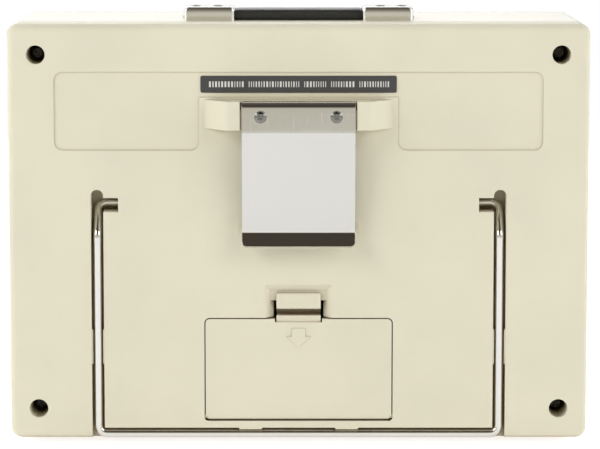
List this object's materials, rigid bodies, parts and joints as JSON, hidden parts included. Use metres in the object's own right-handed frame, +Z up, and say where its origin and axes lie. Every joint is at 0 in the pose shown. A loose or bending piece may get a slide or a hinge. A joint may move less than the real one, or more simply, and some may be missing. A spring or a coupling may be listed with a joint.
{
  "type": "portable practice amplifier",
  "caption": "Cream battery-powered guitar practice amplifier with a wire tilt-back bail, spring belt clip, battery door, strap handle and speakers behind a woven grille.",
  "frame": {"origin": "centre of the bounding box's floor, on the plane that the rubber feet stand on", "axes": "+Z up, the front with its controls and grille faces -Y, the rear with its bail and clip faces +Y, +X to the left when looking at the rear"},
  "size_m": [0.162, 0.0838, 0.1221],
  "materials": {
    "shell_cream": "satin moulded plastic",
    "cover_cream": "fine matt moulded plastic",
    "frame_cream": "satin moulded plastic",
    "door_cream": "fine matt moulded plastic",
    "foot_rubber": "matt",
    "dark_screw": "blackened",
    "label_dark": "printed film",
    "wire_chrome": "polished wire",
    "clip_chrome": "polished sheet",
    "cap_chrome": "polished",
    "bright_screw": "bright",
    "zinc_screw": "zinc plated",
    "tray_black": "moulded",
    "battery_case": "wrapped",
    "snap_black": "vinyl",
    "lead_red": "insulated",
    "lead_blue": "insulated",
    "strap_black": "smooth vinyl leather",
    "baffle_board": "black fibreboard",
    "grille_weave": "woven",
    "grille_plastic": "moulded",
    "basket_steel": "pressed",
    "surround_rubber": "matt",
    "cone_pulp": "pressed paper pulp",
    "magnet_iron": "ferrite and steel",
    "board_green": "solder mask",
    "chip_black": "moulded",
    "panel_copper": "satin",
    "pot_steel": "plated",
    "nut_chrome": "bright",
    "knob_black": "moulded",
    "jack_black": "moulded",
    "led_red": "clear tinted"
  },
  "bodies": {
    "case": {"cabinet_shell": "shell_cream", "rear_cover": "cover_cream", "front_frame": "frame_cream", "rubber_feet": "foot_rubber", "case_screws": "dark_screw", "rating_label": "label_dark", "belt_clip_strip": "clip_chrome", "clip_screws": "bright_screw", "battery_tray": "tray_black", "tray_screws": "zinc_screw", "battery": "battery_case", "battery_snap": "snap_black", "battery_leads": "lead_red", "handle_strap": "strap_black", "handle_cap_l": "cap_chrome", "handle_cap_r": "cap_chrome", "handle_screws": "bright_screw", "baffle": "baffle_board", "grille_cloth": "grille_weave", "grille_frame": "grille_plastic", "speaker_basket_l": "basket_steel", "speaker_basket_r": "basket_steel", "speaker_surround_l": "surround_rubber", "speaker_surround_r": "surround_rubber", "speaker_cone_l": "cone_pulp", "speaker_cone_r": "cone_pulp", "speaker_magnet_l": "magnet_iron", "speaker_magnet_r": "magnet_iron", "speaker_screws": "zinc_screw", "speaker_leads": "lead_blue", "main_board": "board_green", "board_chips": "chip_black", "control_panel": "panel_copper", "pot_gain": "pot_steel", "pot_tone": "pot_steel", "pot_volume": "pot_steel", "pot_nuts": "nut_chrome", "input_jack": "jack_black", "jack_nuts": "nut_chrome", "headphone_jack": "jack_black", "power_led": "led_red"},
    "bail": {"bail": "wire_chrome"},
    "clip_tongue": {"belt_clip_tongue": "clip_chrome"},
    "door": {"battery_door": "door_cream"},
    "latch": {"door_latch": "door_cream"},
    "gain": {"knob_gain": "knob_black"},
    "tone": {"knob_tone": "knob_black"},
    "volume": {"knob_volume": "knob_black"}
  },
  "joints": [
    {"name": "bail_pivot", "type": "hinge", "parent": "case", "child": "bail", "pos_m": [0, 0.02665, 0.0675], "axis": [1, 0, 0], "range_deg": [0, 60]},
    {"name": "clip_flex", "type": "hinge", "parent": "case", "child": "clip_tongue", "pos_m": [0, 0.04035, 0.0883], "axis": [1, 0, 0], "range_deg": [0, 8], "stiffness_Nm_per_rad": 2, "springref_deg": -2.86},
    {"name": "door_hinge", "type": "hinge", "parent": "case", "child": "door", "pos_m": [0, 0.03255, 0.0078], "axis": [-1, 0, 0], "range_deg": [0, 70]},
    {"name": "latch_flex", "type": "hinge", "parent": "door", "child": "latch", "pos_m": [0, 0.02845, 0.03715], "axis": [-1, 0, 0], "range_deg": [0, 8], "stiffness_Nm_per_rad": 0.3, "springref_deg": -1.15},
    {"name": "gain_turn", "type": "hinge", "parent": "case", "child": "gain", "pos_m": [-0.027, -0.03635, 0.102], "axis": [0, -1, 0], "range_deg": [-150, 150]},
    {"name": "tone_turn", "type": "hinge", "parent": "case", "child": "tone", "pos_m": [0, -0.03635, 0.102], "axis": [0, -1, 0], "range_deg": [-150, 150]},
    {"name": "volume_turn", "type": "hinge", "parent": "case", "child": "volume", "pos_m": [0.027, -0.03635, 0.102], "axis": [0, -1, 0], "range_deg": [-150, 150]}
  ]
}
